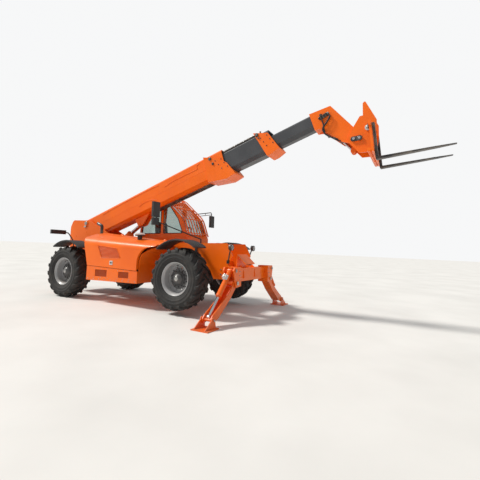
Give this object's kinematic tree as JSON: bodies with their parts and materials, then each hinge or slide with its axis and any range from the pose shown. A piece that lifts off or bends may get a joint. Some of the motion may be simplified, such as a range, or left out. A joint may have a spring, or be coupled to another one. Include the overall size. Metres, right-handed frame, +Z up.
{
  "type": "telehandler",
  "caption": "Telehandler with a telescopic boom, pallet forks, steered dished wheels, front stabiliser legs on pads, a side cab and an engine lid.",
  "frame": {"origin": "on the ground under the middle of the whole machine's bounding box, forks included", "axes": "+X forward towards the forks, +Y to the machine's left where the cab is, +Z up from the ground"},
  "size_m": [9.4526, 3.68, 4.2035],
  "materials": {
    "orange": "gloss paint, weathered",
    "grey": "satin paint, scuffed",
    "iron": "painted casting",
    "black": "satin black",
    "plastic": "grained",
    "lamp": "lamp housing",
    "glass": "pale green tint",
    "seat": "woven",
    "hose": "matte",
    "fork_steel": "scuffed black",
    "chrome": "polished",
    "rim_silver": "dusty silver paint",
    "tyre": "matte, dusty"
  },
  "bodies": {
    "chassis": {"chassis_frame": "orange", "counterweight": "grey", "engine_block": "iron", "engine_bay": "orange", "exhaust_stack": "black", "fenders": "plastic", "rear_lamps": "lamp", "front_lamps": "black", "mirrors": "plastic", "cab_shell": "orange", "cab_glass": "glass", "cab_guard": "orange", "cab_seat": "seat", "cab_console": "plastic", "side_tank": "grey", "stabiliser_beam": "orange", "axle_front": "iron", "axle_rear": "iron"},
    "hood": {"hood": "orange", "intake_cap": "plastic"},
    "door": {"cab_door": "orange", "door_glass": "glass"},
    "boom": {"boom_outer": "orange", "boom_pipes": "black"},
    "boom_mid": {"boom_mid": "grey", "mid_collar": "orange"},
    "boom_inner": {"boom_inner": "grey", "boom_head": "orange", "head_hoses": "hose"},
    "carriage": {"coupler": "orange", "forks": "fork_steel"},
    "lift_barrel": {"lift_barrel": "black"},
    "lift_rod": {"lift_rod": "chrome"},
    "tilt_barrel": {"tilt_barrel": "black"},
    "tilt_rod": {"tilt_rod": "chrome"},
    "leg_left": {"leg_left": "orange"},
    "stab_barrel_left": {"stab_barrel_left": "black"},
    "stab_rod_left": {"stab_rod_left": "chrome"},
    "pad_left": {"pad_left": "orange"},
    "knuckle_front_left": {"knuckle_front_left": "iron"},
    "wheel_front_left": {"rim_front_left": "rim_silver", "tyre_front_left": "tyre"},
    "knuckle_rear_left": {"knuckle_rear_left": "iron"},
    "wheel_rear_left": {"rim_rear_left": "rim_silver", "tyre_rear_left": "tyre"},
    "leg_right": {"leg_right": "orange"},
    "stab_barrel_right": {"stab_barrel_right": "black"},
    "stab_rod_right": {"stab_rod_right": "chrome"},
    "pad_right": {"pad_right": "orange"},
    "knuckle_front_right": {"knuckle_front_right": "iron"},
    "wheel_front_right": {"rim_front_right": "rim_silver", "tyre_front_right": "tyre"},
    "knuckle_rear_right": {"knuckle_rear_right": "iron"},
    "wheel_rear_right": {"rim_rear_right": "rim_silver", "tyre_rear_right": "tyre"}
  },
  "joints": [
    {"name": "hood_lid", "type": "hinge", "parent": "chassis", "child": "hood", "pos_m": [-1.67945, -0.462, 1.52298], "axis": [-0.9975, 0, 0.0705], "range_deg": [0, 30]},
    {"name": "cab_door", "type": "hinge", "parent": "chassis", "child": "door", "pos_m": [-1.72009, 1.178, 1.54754], "axis": [-0.0257, 0, 0.9997], "range_deg": [0, 80]},
    {"name": "boom_lift", "type": "hinge", "parent": "chassis", "child": "boom", "pos_m": [-4.05743, 0, 1.88054], "axis": [0, -1, 0], "range_deg": [-20.5, 46.5]},
    {"name": "boom_extend", "type": "slide", "parent": "boom", "child": "boom_mid", "axis": [0.9399, 0, 0.3416], "range_m": [-0.75, 2.6]},
    {"name": "boom_extend_inner", "type": "slide", "parent": "boom_mid", "child": "boom_inner", "axis": [0.9399, 0, 0.3416], "range_m": [-0.75, 2.6]},
    {"name": "carriage_tilt", "type": "hinge", "parent": "boom_inner", "child": "carriage", "pos_m": [3.18907, 0, 3.46835], "axis": [0, 1, 0], "range_deg": [-30, 75]},
    {"name": "lift_barrel_turn", "type": "hinge", "parent": "chassis", "child": "lift_barrel", "pos_m": [-3.66299, 0, 0.85735], "axis": [0, -1, 0], "range_deg": [-16.91, 37.09]},
    {"name": "lift_rod_slide", "type": "slide", "parent": "lift_barrel", "child": "lift_rod", "axis": [0.8184, 0, 0.5746], "range_m": [-0.3568, 0.7967]},
    {"name": "tilt_barrel_turn", "type": "hinge", "parent": "boom_inner", "child": "tilt_barrel", "pos_m": [2.62825, 0, 3.83163], "axis": [0, 1, 0], "range_deg": [-1.62, 1.25]},
    {"name": "tilt_rod_slide", "type": "slide", "parent": "tilt_barrel", "child": "tilt_rod", "axis": [0.6615, 0, -0.75], "range_m": [-0.2554, 0.1082]},
    {"name": "leg_left_swing", "type": "hinge", "parent": "chassis", "child": "leg_left", "pos_m": [1.02259, 0.8, 0.70078], "axis": [0.9997, 0, 0.0257], "range_deg": [0, 100]},
    {"name": "stab_barrel_left_turn", "type": "hinge", "parent": "chassis", "child": "stab_barrel_left", "pos_m": [1.01662, 0.86, 0.93271], "axis": [0.9997, 0, 0.0257], "range_deg": [-1, 110.41]},
    {"name": "stab_rod_left_slide", "type": "slide", "parent": "stab_barrel_left", "child": "stab_rod_left", "axis": [0.0188, 0.681, -0.7321], "range_m": [-0.3513, 0.01]},
    {"name": "pad_left_tilt", "type": "hinge", "parent": "leg_left", "child": "pad_left", "pos_m": [1.03694, 1.58, 0.14297], "axis": [0.9997, 0, 0.0257], "range_deg": [-15, 15]},
    {"name": "leg_right_swing", "type": "hinge", "parent": "chassis", "child": "leg_right", "pos_m": [1.02259, -0.8, 0.70078], "axis": [-0.9997, 0, -0.0257], "range_deg": [0, 100]},
    {"name": "stab_barrel_right_turn", "type": "hinge", "parent": "chassis", "child": "stab_barrel_right", "pos_m": [1.01662, -0.86, 0.93271], "axis": [-0.9997, 0, -0.0257], "range_deg": [-1, 110.41]},
    {"name": "stab_rod_right_slide", "type": "slide", "parent": "stab_barrel_right", "child": "stab_rod_right", "axis": [0.0188, -0.681, -0.7321], "range_m": [-0.3513, 0.01]},
    {"name": "pad_right_tilt", "type": "hinge", "parent": "leg_right", "child": "pad_right", "pos_m": [1.03694, -1.58, 0.14297], "axis": [-0.9997, 0, -0.0257], "range_deg": [-15, 15]},
    {"name": "steer_front_left", "type": "hinge", "parent": "chassis", "child": "knuckle_front_left", "pos_m": [-0.05801, 0.8, 0.71], "axis": [-0.0257, 0, 0.9997], "range_deg": [-32, 32]},
    {"name": "wheel_front_left_spin", "type": "hinge", "parent": "knuckle_front_left", "child": "wheel_front_left", "pos_m": [-0.05801, 0.995, 0.71], "axis": [0, 1, 0], "continuous": true},
    {"name": "steer_front_right", "type": "hinge", "parent": "chassis", "child": "knuckle_front_right", "pos_m": [-0.05801, -0.8, 0.71], "axis": [-0.0257, 0, 0.9997], "range_deg": [-32, 32]},
    {"name": "wheel_front_right_spin", "type": "hinge", "parent": "knuckle_front_right", "child": "wheel_front_right", "pos_m": [-0.05801, -0.995, 0.71], "axis": [0, 1, 0], "continuous": true},
    {"name": "steer_rear_left", "type": "hinge", "parent": "chassis", "child": "knuckle_rear_left", "pos_m": [-3.55685, 0.8, 0.62], "axis": [-0.0257, 0, 0.9997], "range_deg": [-32, 32]},
    {"name": "wheel_rear_left_spin", "type": "hinge", "parent": "knuckle_rear_left", "child": "wheel_rear_left", "pos_m": [-3.55685, 0.995, 0.62], "axis": [0, 1, 0], "continuous": true},
    {"name": "steer_rear_right", "type": "hinge", "parent": "chassis", "child": "knuckle_rear_right", "pos_m": [-3.55685, -0.8, 0.62], "axis": [-0.0257, 0, 0.9997], "range_deg": [-32, 32]},
    {"name": "wheel_rear_right_spin", "type": "hinge", "parent": "knuckle_rear_right", "child": "wheel_rear_right", "pos_m": [-3.55685, -0.995, 0.62], "axis": [0, 1, 0], "continuous": true}
  ],
  "couplings": [
    {"joint": "boom_extend_inner", "follows": "boom_extend", "ratio": 1},
    {"joint": "lift_barrel_turn", "follows": "boom_lift", "ratio": 0.77613},
    {"joint": "lift_rod_slide", "follows": "boom_lift", "m_per_rad": 0.96936},
    {"joint": "tilt_barrel_turn", "follows": "carriage_tilt", "ratio": -0.00832},
    {"joint": "tilt_rod_slide", "follows": "carriage_tilt", "m_per_rad": -0.1875},
    {"joint": "stab_barrel_left_turn", "follows": "leg_left_swing", "ratio": 1.0941},
    {"joint": "stab_rod_left_slide", "follows": "leg_left_swing", "m_per_rad": -0.19552},
    {"joint": "stab_barrel_right_turn", "follows": "leg_right_swing", "ratio": 1.0941},
    {"joint": "stab_rod_right_slide", "follows": "leg_right_swing", "m_per_rad": -0.19552},
    {"joint": "steer_front_right", "follows": "steer_front_left", "ratio": 1},
    {"joint": "steer_rear_right", "follows": "steer_rear_left", "ratio": 1}
  ]
}
